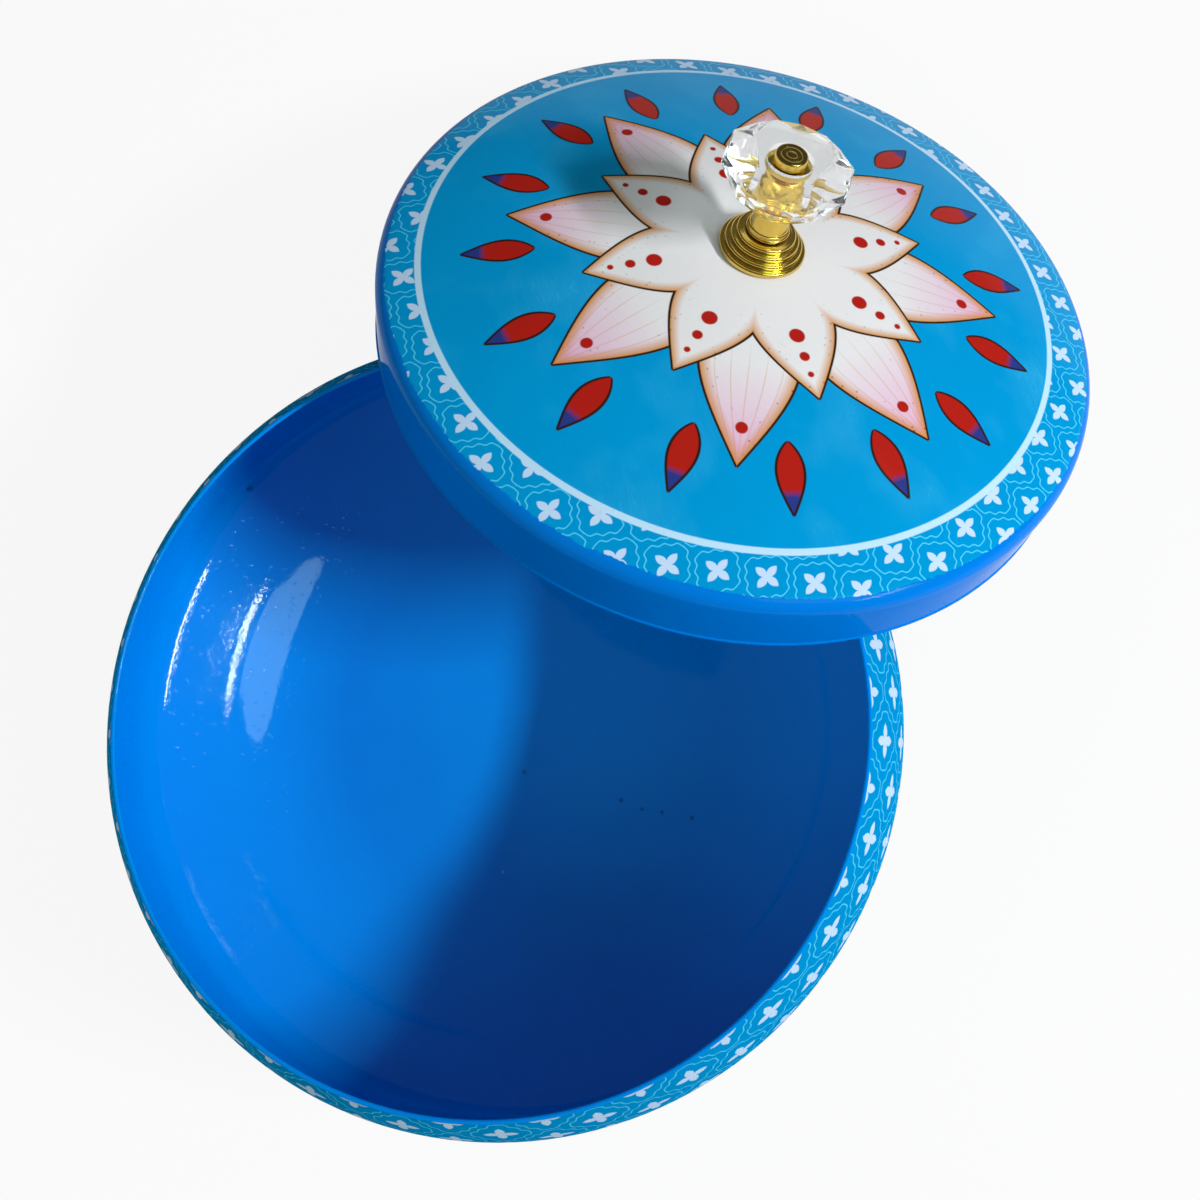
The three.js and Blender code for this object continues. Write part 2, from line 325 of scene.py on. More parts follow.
CELL_WIDTH = 19.04
CELL_HEIGHT = 12.18
FLOWER_EYE = 1
PETAL_LENGTH = 2.4
LINE_REACH = 5.9
LINE_WAVE = 0.3
LINE_HALF_WIDTH = 0.18
NEVER_ZERO = 0.0001
# Middle of the lid's ring, which the print puts a little off the lid's own
RING_CENTRE = (-1.73, -0.91)
# Turn in degrees, and drop from the rim, of the first flower on the bowl's wall
WALL_TURN = 12.6
WALL_DROP = 7.1
# Shares of 1, x, y, x*x, x*y and y*y in the border's column and row, x and y in border radii
BORDER_RADIUS = 90
BORDER_COLUMN = (-1.9549, 4.5663, -0.6784, 0.2994, -0.2187, 0.0863)
BORDER_ROW = (7.05, 0.7691, 7.3458, -0.1024, -0.0486, -0.2169)


def lattice_cell(across, down):
    """Flower and outline of one cell, from its middle outwards."""
    x = abs(across)
    y = abs(down)
    petals = FLOWER_EYE + PETAL_LENGTH * (1 - x.least(y) / (x.most(y) + NEVER_ZERO)) ** 1.15
    flower = (reach(x, y) - petals).below(0, 0.3)
    wave = LINE_REACH + LINE_WAVE * ((x - y - 0.2) * (math.pi / 2)).cos()
    edge = (x ** 1.25 + y ** 1.25) ** 0.8
    outline = abs(edge - wave).below(LINE_HALF_WIDTH, 0.22)
    return flower, outline


def lattice(column, row):
    """Flowers and outlines of the lattice over a plane counted in cells."""
    flowers = []
    outlines = []
    for shift in (0, 0.5):
        across = (column + shift).fold() * CELL_WIDTH
        down = (row + shift).fold() * CELL_HEIGHT
        flower, outline = lattice_cell(across, down)
        flowers.append(flower)
        outlines.append(outline)
    return flowers[0].most(flowers[1]), outlines[0].most(outlines[1])


def pressed(shares, x, y):
    """Column or row of the lid's border, drawn out a little by the pressing."""
    start, along, across, bend, twist, bow = shares
    return start + along * x + across * y + bend * x * x + twist * x * y + bow * y * y


class PetalRow:
    """A ring of pointed petals round the middle of the lid."""

    line_half_width = 0.34
    vein_half_width = 0.13

    def __init__(self, radius, bearing, count, turn, foot, tip, half_width):
        wedge = 2 * math.pi / count
        lean = (bearing / wedge + turn).fold() * wedge
        self.along = radius * lean.cos()
        self.across = abs(radius * lean.sin())
        self.share = ((self.along - foot) / (tip - foot)).clamp()
        self.swell = half_width * ((self.share ** 0.8) * math.pi).sin()
        inside = self.along.above(foot, 0.5) * self.along.below(tip, 0.5)
        self.edge = self.across - self.swell
        self.fill = self.edge.below(0, 0.3) * inside
        self.outline = abs(self.edge).below(self.line_half_width, 0.3) * inside

    def dot(self, centre, size):
        return reach(self.along - centre, self.across).below(size, 0.3)

    def depth(self, width):
        """0 on the petal's edge, rising to 1 over a width inside it."""
        return (-self.edge / width).clamp()

    def vein(self, part):
        """A fine line that follows the petal's edge at a part of its half width."""
        line = abs(self.across - part * self.swell).below(self.vein_half_width, 0.2)
        return line * self.share.above(0.45, 0.2)


def lotus(graph, tints, ground, spot, x, y):
    """A lotus medallion round the knob, drawn over the printed ground."""
    radius = (x * x + y * y + NEVER_ZERO).sqrt()
    bearing = y.math("ARCTAN2", x)
    buds = PetalRow(radius, bearing, count=16, turn=0.5, foot=56, tip=74, half_width=3.4)
    outer = PetalRow(radius, bearing, count=8, turn=0.5, foot=12, tip=64, half_width=12.5)
    inner = PetalRow(radius, bearing, count=8, turn=0, foot=6, tip=46, half_width=11)
    bud_tint = graph.mix(buds.share.above(0.7, 0.1), tints.red, tints.indigo)
    drawn = graph.mix(buds.fill, ground, bud_tint)
    drawn = graph.mix(buds.outline, drawn, tints.outline)
    blush = graph.mix(outer.share.above(0.72, 0.5), tints.petal, tints.pink)
    outer_tint = graph.mix(outer.depth(3.4), tints.ochre, blush)
    for part in (0, 0.35, 0.68):
        outer_tint = graph.mix(outer.vein(part) * 0.4, outer_tint, tints.ochre)
    stipple = graph.specks(spot, 1.7, 0.3, 0.6)
    outer_tint = graph.mix(stipple * (1 - outer.depth(7)) * 0.6, outer_tint, tints.outline)
    drawn = graph.mix(outer.fill, drawn, outer_tint)
    drawn = graph.mix(outer.outline, drawn, tints.outline)
    drawn = graph.mix(outer.dot(54, 1.5), drawn, tints.red)
    inner_tint = graph.mix(inner.depth(3.0), tints.ochre, tints.petal)
    inner_tint = graph.mix(stipple * (1 - inner.depth(6)) * 0.5, inner_tint, tints.outline)
    drawn = graph.mix(inner.fill, drawn, inner_tint)
    drawn = graph.mix(inner.outline * radius.above(17, 1), drawn, tints.outline)
    for centre, size in ((28, 2.0), (34, 1.3), (39, 0.8)):
        drawn = graph.mix(inner.dot(centre, size), drawn, tints.red)
    return graph.mix(radius.below(19, 4), drawn, tints.petal)


# Materials

WHITE = (1, 1, 1)
DUST = srgb(0, 44, 78)
# A small speck paler than the enamel
PALE_SPECK = srgb(110, 176, 226)
# Centre and radius in millimetres, and tint, of small dark dust marks and one pale speck inside the bowl
MARKS = (
    ((6.7, -13.7, 0.8), 0.55, DUST),
    ((35.2, -6.2, 0.8), 0.6, DUST),
    ((41.7, -5.3, 0.8), 0.5, DUST),
    ((47.1, -3.1, 0.8), 0.5, DUST),
    ((55.3, -0.1, 0.8), 0.55, DUST),
    ((16.1, -40.8, 0.8), 0.4, PALE_SPECK),
    ((-99.9, 16.8, 25.5), 0.8, DUST),
    ((-100.1, 16.1, 25.8), 0.5, DUST),
)
# Height in millimetres of the paint's orange peel
PEEL = 0.012
# Radius and half width in millimetres, and added peel, of the bowl's bands that the press stretched
STRETCHED = ((85.6, 1.4, 0.03), (100, 1.6, 0.012))
# A height in metres that no piece reaches
NOWHERE = 1


def shade(tint, share):
    return tuple(value * share for value in tint)


def gloss_paint(graph, spot, body, rough, gloss, peel=PEEL):
    """Finish of stoved gloss paint: orange peel and small pits over a slow waviness."""
    relief = 0.12 * graph.noise(spot, 0.07, 1) + peel * graph.noise(spot, 0.9, 2)
    relief = relief + 0.02 * graph.specks(spot, 1.9, 0.5, 0.4)
    return graph.finish(
        Base_Color=body,
        Roughness=rough + 0.03 * graph.noise(spot, 0.4, 3),
        Specular_IOR_Level=gloss,
        Normal=graph.bump(relief, 1, MM),
    )


def enamel_material(name, tint, gloss, marks=(), stretched=()):
    """Plain enamel: faintly cloudy, with dust, placed marks and more peel where it was stretched."""
    graph = new_graph(name)
    spot = graph.place()
    cloud = (graph.noise(spot, 0.035) - 0.35).clamp()
    body = graph.mix(cloud * 0.9, tint, shade(tint, 0.86))
    body = graph.mix(graph.specks(spot, 20, 0.4, 0.25) * 0.75, body, shade(tint, 0.3))
    for centre, radius, stain in marks:
        away = graph.node("ShaderNodeVectorMath", {0: spot, 1: centre}, 1, operation="DISTANCE")
        body = graph.mix(away.below(radius, 1.2 * radius) * 0.6, body, stain)
    x, y, _ = graph.split(spot)
    peel = PEEL
    for line, half_width, more in stretched:
        peel = peel + more * abs(reach(x, y) - line).below(half_width, 1)
    return gloss_paint(graph, spot, body, rough=0.03, gloss=gloss, peel=peel)


def upper_wall(sizes):
    """Rise of the bowl's upper wall over the belly, and the radius of its arc."""
    upward = sizes.height - sizes.rim_bead - sizes.belly_height
    inward = sizes.belly_radius - sizes.rim_radius
    return upward, (inward ** 2 + upward ** 2) / (2 * inward)


def bowl_print_material(sizes, tints):
    """Lattice print that wraps the bowl's wall, from below the rim's bead to above the base."""
    graph = new_graph("printed_wall")
    spot = graph.place()
    x, y, z = graph.split(spot)
    belly = sizes.belly_height / MM
    upward, upper = [size / MM for size in upper_wall(sizes)]
    tight = sizes.belly_round / MM
    slope = sizes.wall_slope
    wall = upper * math.asin(upward / upper)
    above = upper * ((z - belly) / upper).most(0).least(1).math("ARCSINE")
    round_share = ((belly - z) / tight).most(0).least(math.cos(slope))
    beneath = tight * round_share.math("ARCSINE")
    lower = (belly - tight * math.cos(slope) - z).most(0) / math.sin(slope)
    drop = wall - above + beneath + lower
    turns = y.math("ARCTAN2", x) / (2 * math.pi)
    column = (turns - WALL_TURN / 360) * sizes.cells_round
    row = (drop - WALL_DROP) / (sizes.cell_drop / MM)
    flower, line = lattice(column, row)
    cloud = (graph.noise(spot, 0.05) - 0.4).clamp()
    # Painted shade: the wall's ground, lines and flowers are darker copies of the lid's print colours, for
    # the dimmer light on the bowl's side
    body = graph.mix(cloud * 0.8, tints.wall, shade(tints.wall, 0.8))
    body = graph.mix(line * 0.9, body, shade(tints.line, 0.8))
    body = graph.mix(flower, body, shade(tints.flower, 0.82))
    printed = (drop + graph.noise(spot, 0.5, 4) * 0.8).above(0.5, 0.3) * z.above(5.5, 0.4)
    body = graph.mix(printed, tints.rim, body)
    return gloss_paint(graph, spot, body, rough=0.09, gloss=0)


def lid_print_material(sizes, tints):
    """The lid's printed top: lotus medallion, pale ring and lattice border."""
    graph = new_graph("printed_lid")
    spot = graph.place_on_lid(sizes)
    x, y, _ = graph.split(spot)
    ring_reach = reach(x - RING_CENTRE[0], y - RING_CENTRE[1])
    ring_radius = sizes.ring_radius / MM
    border_x, border_y = x / BORDER_RADIUS, y / BORDER_RADIUS
    column = pressed(BORDER_COLUMN, border_x, border_y)
    row = pressed(BORDER_ROW, border_x, border_y)
    flower, line = lattice(column, row)
    fade = (graph.noise(spot, 0.03) - 0.4).clamp() * 0.7
    border = graph.mix(fade, tints.border, shade(tints.border, 0.8))
    border = graph.mix(line * 0.9, border, tints.line)
    border = graph.mix(flower, border, tints.flower)
    ground = graph.mix(fade, tints.ground, shade(tints.ground, 0.82))
    drawn_out = graph.node("ShaderNodeCombineXYZ", {0: 0.5 * (x + y), 1: 0.06 * (x - y)})
    rubbed = (graph.noise(spot, 0.045, 2) - 0.5).clamp() * 2
    scratch = abs(graph.noise(drawn_out, 1, 3) - 0.5).below(0.012, 0.02)
    ground = graph.mix(rubbed * (0.25 + 0.3 * scratch), ground, tints.line)
    body = lotus(graph, tints, ground, spot, x, y)
    body = graph.mix(ring_reach.above(ring_radius, 0.3), body, border)
    ring = abs(ring_reach - ring_radius).below(sizes.ring_width / MM / 2, 0.25)
    body = graph.mix(ring, body, tints.ring)
    torn = graph.noise(spot, 0.7, 4) * 1.3 + graph.noise(spot, 0.06, 1) * 1.2
    bare = (reach(x, y) + torn).above(sizes.print_edge / MM + 1.2, 0.2)
    body = graph.mix(bare, body, tints.skirt)
    body = graph.mix(graph.specks(spot, 17, 0.35, 0.25) * 0.6, body, tints.indigo)
    return gloss_paint(graph, spot, body, rough=0.1, gloss=0.05)


def metal_material(name, tint, lid, rough, lines, painted_shade_above=NOWHERE):
    """Turned metal with fine lathe lines round the bolt's axis, and painted shade that darkens it above a
    given height for the dark room that the top reflects.
    """
    graph = new_graph(name)
    spot = graph.place_on_lid(lid)
    x, y, z = graph.split(spot)
    lathe = graph.node("ShaderNodeCombineXYZ", {0: reach(x, y) * lines, 1: z * lines})
    tarnish = graph.noise(spot, 0.22, 2)
    body = graph.mix((tarnish - 0.42).clamp() * 1.4, tint, shade(tint, 0.66))
    # Painted shade: a darker brass above the given height, standing in for the dark surroundings reflected
    # there
    body = graph.mix(z.above(painted_shade_above / MM, 0.15) * 0.85, body, shade(tint, 0.5))
    return graph.finish(
        Base_Color=body,
        Metallic=1.0,
        Roughness=rough + 0.12 * tarnish,
        Normal=graph.bump(graph.noise(lathe, 1.0, 1), 0.1, 0.08 * MM),
    )


def crystal_material(tint, lid):
    """Clear cast acrylic."""
    graph = new_graph("clear_acrylic")
    spot = graph.place_on_lid(lid)
    return graph.finish(
        Base_Color=tint,
        Roughness=0.012 + 0.03 * (graph.noise(spot, 0.4, 3) - 0.5).clamp(),
        IOR=1.49,
        Transmission_Weight=0.96,
    )


def floor_material(tint):
    """Pale table top that keeps the tin's shadow but shows as white."""
    graph = new_graph("pale_table")
    seen = 0.9 * graph.ray("Is Camera Ray")
    for kind, share in (("Is Glossy Ray", 0.5), ("Is Transmission Ray", 0.9)):
        seen = seen.most(share * graph.ray(kind))
    white = graph.node("ShaderNodeEmission", {"Color": WHITE, "Strength": 1.0})
    grain = graph.noise(graph.place(), 0.02, 2)
    body = graph.mix(grain * 0.2, tint, shade(tint, 0.94))
    material = graph.finish(Base_Color=body, Roughness=0.6)
    lit = Value(graph, graph.shader.outputs[0])
    mixed = graph.node("ShaderNodeMixShader", {0: seen, 1: lit, 2: white})
    graph.feed(graph.tree.nodes["Material Output"].inputs["Surface"], mixed)
    return material


# Modelling

# Points closer than this, in metres, are one
SAME_POINT = 1e-6


def arc(centre_radius, centre_height, radius, start, end, steps):
    """Points of an arc in the (radius, height) plane, angles in radians."""
    turns = [start + (end - start) * step / steps for step in range(steps + 1)]
    return [(centre_radius + radius * math.cos(turn), centre_height + radius * math.sin(turn))
            for turn in turns]


def slope_path(stops):
    """Points of a line whose slope goes from stop to stop, each a run and the slope there."""
    path = [(0, 0)]
    steps = 8
    for (near, low), (far, high) in zip(stops, stops[1:]):
        run = (far - near) / steps
        for step in range(steps):
            lean = low + (high - low) * (step + 0.5) / steps
            path.append((path[-1][0] + run, path[-1][1] + run * math.tan(lean)))
    return path


def without_repeats(points):
    kept = [points[0]]
    for point in points[1:]:
        if math.dist(point, kept[-1]) > SAME_POINT:
            kept.append(point)
    return kept


def sheet_profile(path, sheet, bead):
    """Outline of a sheet that follows a path and ends in a rolled bead."""
    points = without_repeats(path)
    sides = ([], [])
    for index, (radius, height) in enumerate(points):
        before = points[max(index - 1, 0)]
        after = points[min(index + 1, len(points) - 1)]
        run = math.dist(before, after)
        across = ((after[1] - before[1]) / run, (before[0] - after[0]) / run)
        for side, offset in zip(sides, (sheet / 2, -sheet / 2)):
            side.append((radius + across[0] * offset, height + across[1] * offset))
    end, last = points[-1], points[-2]
    heading = math.atan2(end[1] - last[1], end[0] - last[0])
    neck = math.asin(sheet / 2 / bead)
    roll = arc(*end, bead, heading + neck - math.pi, heading + math.pi - neck, 18)
    return without_repeats([*sides[0][:-1], *roll, *sides[1][-2::-1]])


def deselect_all():
    if bpy.context.object and bpy.context.object.mode != "OBJECT":
        bpy.ops.object.mode_set(mode="OBJECT")
    bpy.ops.object.select_all(action="DESELECT")


def tidy_normals():
    bpy.ops.mesh.select_all(action="SELECT")
    bpy.ops.mesh.remove_doubles(threshold=SAME_POINT)
    bpy.ops.mesh.normals_make_consistent(inside=False)


def turn_profile(name, profile, steps):
    """Draws a profile point by point beside the Z axis and spins it into a closed body."""
    deselect_all()
    bpy.ops.mesh.primitive_plane_add(size=MM, location=(0, 0, 0))
    piece = bpy.context.object
    piece.name = piece.data.name = name
    bpy.ops.object.mode_set(mode="EDIT")
    bpy.ops.mesh.select_all(action="SELECT")
    bpy.ops.mesh.merge(type="CENTER")
    bpy.ops.transform.translate(value=(profile[0][0], 0, profile[0][1]))
    for before, after in zip(profile, profile[1:]):
        step = (after[0] - before[0], 0, after[1] - before[1])
        bpy.ops.mesh.extrude_vertices_move(TRANSFORM_OT_translate={"value": step})
    bpy.ops.mesh.select_all(action="SELECT")
    bpy.ops.mesh.spin(steps=steps, angle=2 * math.pi, center=(0, 0, 0), axis=(0, 0, 1))
    tidy_normals()
    bpy.ops.object.mode_set(mode="OBJECT")
    return piece


def choose(piece):
    deselect_all()
    piece.select_set(True)
    bpy.context.view_layer.objects.active = piece


def smooth(piece, angle):
    choose(piece)
    bpy.ops.object.shade_smooth_by_angle(angle=math.radians(angle))


def apply_modifier(piece, kind, **settings):
    choose(piece)
    modifier = piece.modifiers.new(kind.title(), kind)
    for key, setting in settings.items():
        setattr(modifier, key, setting)
    bpy.ops.object.modifier_apply(modifier=modifier.name)


def put_on_lid(piece, lid, height):
    """Moves a piece made about the Z axis to its height on the leaning lid."""
    choose(piece)
    piece.location = (0, 0, height)
    bpy.ops.object.transform_apply(location=True, rotation=False, scale=False)
    piece.location = lid.place
    piece.rotation_euler = (-lid.tilt, 0, 0)
    bpy.ops.object.transform_apply(location=True, rotation=True, scale=False)


def turn_on_lid(name, profile, steps, height, angle):
    """Turns a piece of the knob and puts it at its height on the leaning lid."""
    piece = turn_profile(name, without_repeats(profile), steps)
    put_on_lid(piece, tin_settings().lid, height)
    smooth(piece, angle)
    return piece


def bore_out(piece, profile, steps):
    """Cuts a turned bore out of a piece."""
    bore = turn_profile("bore", profile, steps)
    apply_modifier(piece, "BOOLEAN", operation="DIFFERENCE", object=bore, solver="EXACT")
    choose(bore)
    bpy.ops.object.delete()


def fit(piece, body, node, slot, *materials):
    """Gives a piece its finish and lets it stand for its solid."""
    piece.data.materials.clear()
    for material in materials:
        piece.data.materials.append(material)
    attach(piece, body)
    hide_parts(node)


def tin_settings():
    return bpy.context.scene.gift_tin


def dome_shape(lid):
    """Radius and centre height of the dome, and its seat's height, over the hem."""
    shoulder = lid.skirt_radius - lid.shoulder_radius
    rise = lid.dome_height - lid.shoulder_radius
    radius = (shoulder ** 2 + lid.dome_height ** 2 - lid.shoulder_radius ** 2) / (2 * rise)
    centre = lid.skirt_height - lid.hem_bead + lid.dome_height - radius
    return radius, centre, centre + math.sqrt(radius ** 2 - lid.seat_radius ** 2)


def knob_heights(tin):
    """Foot of each stacked piece of the knob over the middle of the lid's sheet."""
    knob = tin.knob
    gap = knob.seat_gap
    half = tin.bowl.sheet / 2
    feet = {"rosette": half + gap}
    feet["neck"] = feet["rosette"] + knob.rosette_height + gap
    feet["crystal"] = feet["neck"] + knob.neck_height + gap - knob.socket_depth
    feet["ferrule"] = feet["crystal"] + knob.crystal_height - knob.pocket_depth + gap
    feet["cap"] = feet["ferrule"] + knob.ferrule_height + gap
    feet["washer"] = -half - gap - knob.washer_height
    feet["nut"] = feet["washer"] - gap - knob.nut_height
    seat = dome_shape(tin.lid)[2]
    return {name: seat + foot for name, foot in feet.items()}


# Operators

# Run out from the base's turn in millimetres, and the slope there in degrees, of the bowl's wall
# over the faint line that the press left
PRESSED_LINE = ((0, 34.5), (3.3, 36.9), (4.6, 40.0), (6.2, 38.5))
# Radius and height in millimetres of the corners of the crystal's facets, from the foot up
CRYSTAL_CORNERS = ((6.8, 0), (13.4, 6), (16.2, 11.5), (14.2, 12.9), (9.8, 13.6))
# Radii in millimetres of the grooves turned into the bolt's cap, with their half width and depth
CAP_GROOVES = (2.5, 1.2)
GROOVE_HALF_WIDTH = 0.26
GROOVE_DEPTH = 0.14


class GIFT_TIN_OT_bowl(Operator):
    """Spin the bowl from its pressed profile and print its wall"""

    bl_idname = "gift_tin.bowl"
    bl_label = "Bowl"

    def execute(self, context):
        tin = tin_settings()
        sizes = tin.bowl
        upward, upper = upper_wall(sizes)
        slope, turn, tight = sizes.wall_slope, sizes.turn_radius, sizes.belly_round
        under = sizes.sheet / 2
        side = sizes.belly_radius - tight
        stops = [(run * MM, math.radians(lean)) for run, lean in PRESSED_LINE]
        first, last = stops[0][1], stops[-1][1]
        wall_foot = under + turn * (1 - math.cos(first))
        wall_top = sizes.belly_height - tight * math.cos(slope)
        rise = wall_top - wall_foot - slope_path(stops)[-1][1]
        stops.append((stops[-1][0] + rise / math.tan((last + slope) / 2), slope))
        base = side + tight * math.sin(slope) - stops[-1][0] - turn * math.sin(first)
        down = -math.pi / 2
        path = [(0, under), (base / 2, under)]
        path += arc(base, under + turn, turn, down, down + first, 17)
        start = path[-1]
        path += [(start[0] + run, start[1] + height) for run, height in slope_path(stops)]
        path += arc(side, sizes.belly_height, tight, down + slope, 0, 12)
        path += arc(sizes.belly_radius - upper, sizes.belly_height, upper,
                    0, math.asin(upward / upper), 22)
        piece = turn_profile("bowl", sheet_profile(path, sizes.sheet, sizes.rim_bead), 160)
        fit(piece, "bowl", "bowl_shell", "bowl_paint",
            enamel_material("bowl_enamel", tin.colours.enamel, gloss=0.35, marks=MARKS,
                            stretched=STRETCHED),
            bowl_print_material(sizes, tin.colours))
        for face in piece.data.polygons:
            outwards = face.normal.xy.dot(face.center.xy.normalized())
            underside = face.normal.z < -0.5 and face.center.z < sizes.belly_height
            bead = face.center.z > sizes.height - sizes.rim_bead and outwards > -0.5
            face.material_index = int(outwards > 0.01 or underside or bead)
        smooth(piece, 40)
        return {"FINISHED"}


class GIFT_TIN_OT_lid(Operator):
    """Spin the domed lid, print its top and lean it on the bowl"""

    bl_idname = "gift_tin.lid"
    bl_label = "Lid"

    def execute(self, context):
        tin = tin_settings()
        lid = tin.lid
        radius, centre, seat = dome_shape(lid)
        shoulder = lid.skirt_radius - lid.shoulder_radius
        skirt_top = lid.skirt_height - lid.hem_bead
        turn_over = math.acos(shoulder / (radius - lid.shoulder_radius))
        path = [(lid.bolt_hole, seat), (lid.seat_radius, seat)]
        path += arc(0, centre, radius, math.acos(lid.seat_radius / radius), turn_over, 26)
        path += arc(shoulder, skirt_top, lid.shoulder_radius, turn_over, 0, 9)
        foot = lid.hem_roll - lid.hem_bead
        path += [(lid.skirt_radius, foot + (skirt_top - foot) * share)
                 for share in (0.7, 0.4, 0.2, 0)]
        profile = sheet_profile(path, tin.bowl.sheet, lid.hem_roll)
        piece = turn_profile("lid", [*profile, profile[0]], 160)
        fit(piece, "lid", "lid_shell", "lid_paint",
            enamel_material("lid_enamel", tin.colours.skirt, gloss=0.014),
            lid_print_material(lid, tin.colours))
        for face in piece.data.polygons:
            face.material_index = int(face.normal.z > 0.05 and face.center.z > skirt_top)
        put_on_lid(piece, lid, 0)
        smooth(piece, 40)
        return {"FINISHED"}


class GIFT_TIN_OT_knob_foot(Operator):
    """Turn the stepped rosette and the neck of the knob"""

    bl_idname = "gift_tin.knob_foot"
    bl_label = "Knob Foot"

    def execute(self, context):
        tin = tin_settings()
        knob, lid = tin.knob, tin.lid
        feet = knob_heights(tin)
        brass = metal_material("turned_brass", tin.colours.brass, lid, rough=0.14, lines=5)
        hole = lid.bolt_hole
        up, back, hollow = math.pi / 2, math.pi, math.pi * 1.4
        steps, foot, top = knob.rosette_steps, knob.rosette_radius, knob.rosette_height
        rise = top / steps
        inset = (foot - knob.neck_collar - 0.8 * MM) / steps
        bead = rise * 0.36
        edge = 0.3 * MM
        profile = [(hole, 0), (foot - edge, 0), (foot, edge)]
        for step in range(steps):
            outer = foot - step * inset
            base = step * rise
            profile += arc(outer - bead, base + rise - bead, bead, -0.5, up, 6)
            profile += arc(outer - inset + 0.15 * MM, base + rise + 0.12 * MM, 0.2 * MM, hollow, back, 3)
        profile = [point for point in profile if point[1] <= top]
        profile += [(knob.neck_collar + 0.5 * MM, top), (hole, top), (hole, 0)]
        rosette = turn_on_lid("rosette", profile, 96, feet["rosette"], 50)
        fit(rosette, "lid", "knob_rosette", "brass", brass)
        collar, neck, tall = knob.neck_collar, knob.neck_radius, knob.neck_height
        roll, fillet, edge = 0.4 * MM, 0.45 * MM, 0.25 * MM
        profile = [(hole, 0), (collar - 0.2 * MM, 0)]
        profile += arc(collar - roll, 0.5 * MM, roll, -0.4, up, 6)
        profile += arc(neck + fillet, 1.75 * MM, fillet, hollow, back, 6)
        profile += [(neck, tall / 2), (neck, tall - edge), (neck - edge, tall), (hole, tall), (hole, 0)]
        column = turn_on_lid("neck", profile, 72, feet["neck"], 50)
        fit(column, "lid", "knob_neck", "brass", brass)
        return {"FINISHED"}


class GIFT_TIN_OT_knob_crystal(Operator):
    """Cut the faceted crystal, bore it and polish its edges"""

    bl_idname = "gift_tin.knob_crystal"
    bl_label = "Knob Crystal"

    def execute(self, context):
        tin = tin_settings()
        knob, lid = tin.knob, tin.lid
        deselect_all()
        for index, (radius, height) in enumerate(CRYSTAL_CORNERS):
            turn = knob.facet_turn + (index % 2) * math.pi / knob.facets
            bpy.ops.mesh.primitive_circle_add(vertices=knob.facets, radius=radius * MM,
                                              location=(0, 0, height * MM), rotation=(0, 0, turn))
            if index == 0:
                piece = bpy.context.object
                bpy.ops.object.transform_apply(location=True, rotation=True, scale=True)
                bpy.ops.object.mode_set(mode="EDIT")
        bpy.ops.mesh.select_all(action="SELECT")
        bpy.ops.mesh.convex_hull()
        bpy.ops.mesh.select_all(action="SELECT")
        bpy.ops.mesh.dissolve_limited(angle_limit=math.radians(0.5))
        tidy_normals()
        bpy.ops.object.mode_set(mode="OBJECT")
        piece.name = piece.data.name = "crystal"
        apply_modifier(piece, "BEVEL", width=knob.facet_edge, segments=2, limit_method="ANGLE",
                       angle_limit=math.radians(4))
        close = 0.1 * MM
        neck = knob.neck_radius - close
        pocket = knob.ferrule_radius - close
        shank = knob.bolt_radius - close
        socket = knob.socket_depth - knob.seat_gap - close
        floor = knob.crystal_height - knob.pocket_depth + knob.seat_gap + close
        past = knob.crystal_height + MM
        bore_out(piece, [
            (0, -MM), (neck, -MM), (neck, socket), (shank, socket),
            (shank, floor), (pocket, floor), (pocket, past), (0, past)], 64)
        put_on_lid(piece, lid, knob_heights(tin)["crystal"])
        smooth(piece, 12)
        fit(piece, "lid", "knob_crystal", "crystal", crystal_material(tin.colours.crystal, lid))
        return {"FINISHED"}


class GIFT_TIN_OT_knob_cap(Operator):
    """Turn the sunk ferrule and the bolt with its ringed cap"""

    bl_idname = "gift_tin.knob_cap"
    bl_label = "Knob Cap"

    def execute(self, context):
        tin = tin_settings()
        knob, lid = tin.knob, tin.lid
        feet = knob_heights(tin)
        top = feet["cap"] + knob.cap_height - 0.3 * MM
        # The cap's top gets painted shade: darker brass above this height
        brass = metal_material("cap_brass", tin.colours.brass, lid, rough=0.16, lines=6, painted_shade_above=top)
        hole, edge, brow = lid.bolt_hole, 0.35 * MM, 0.5 * MM
        radius, tall = knob.ferrule_radius, knob.ferrule_height
        profile = [(hole, 0), (radius - edge, 0), (radius, edge), (radius, tall * 0.55)]
        profile += arc(radius - brow, tall - brow, brow, 0, math.pi / 2, 6)
        profile += [(hole, tall), (hole, 0)]
        ferrule = turn_on_lid("ferrule", profile, 72, feet["ferrule"], 40)
        fit(ferrule, "lid", "knob_ferrule", "brass", brass)
        cap, high, shank = knob.cap_radius, knob.cap_height, knob.bolt_radius
        end = feet["nut"] - knob.bolt_end - feet["cap"]
        lip, brow = 0.25 * MM, 0.6 * MM
        profile = [(0, end), (shank - edge, end), (shank, end + edge), (shank, 0)]
        profile += [(cap - lip, 0), (cap, lip), (cap, high / 2)]
        profile += arc(cap - brow, high - brow, brow, 0, math.pi / 2, 7)
        for groove in CAP_GROOVES:
            profile += [((groove + GROOVE_HALF_WIDTH) * MM, high), (groove * MM, high - GROOVE_DEPTH * MM),
                        ((groove - GROOVE_HALF_WIDTH) * MM, high)]
        profile += [(0, high)]
        bolt = turn_on_lid("bolt", profile, 72, feet["cap"], 40)
        fit(bolt, "lid", "knob_bolt", "brass", brass)
        return {"FINISHED"}


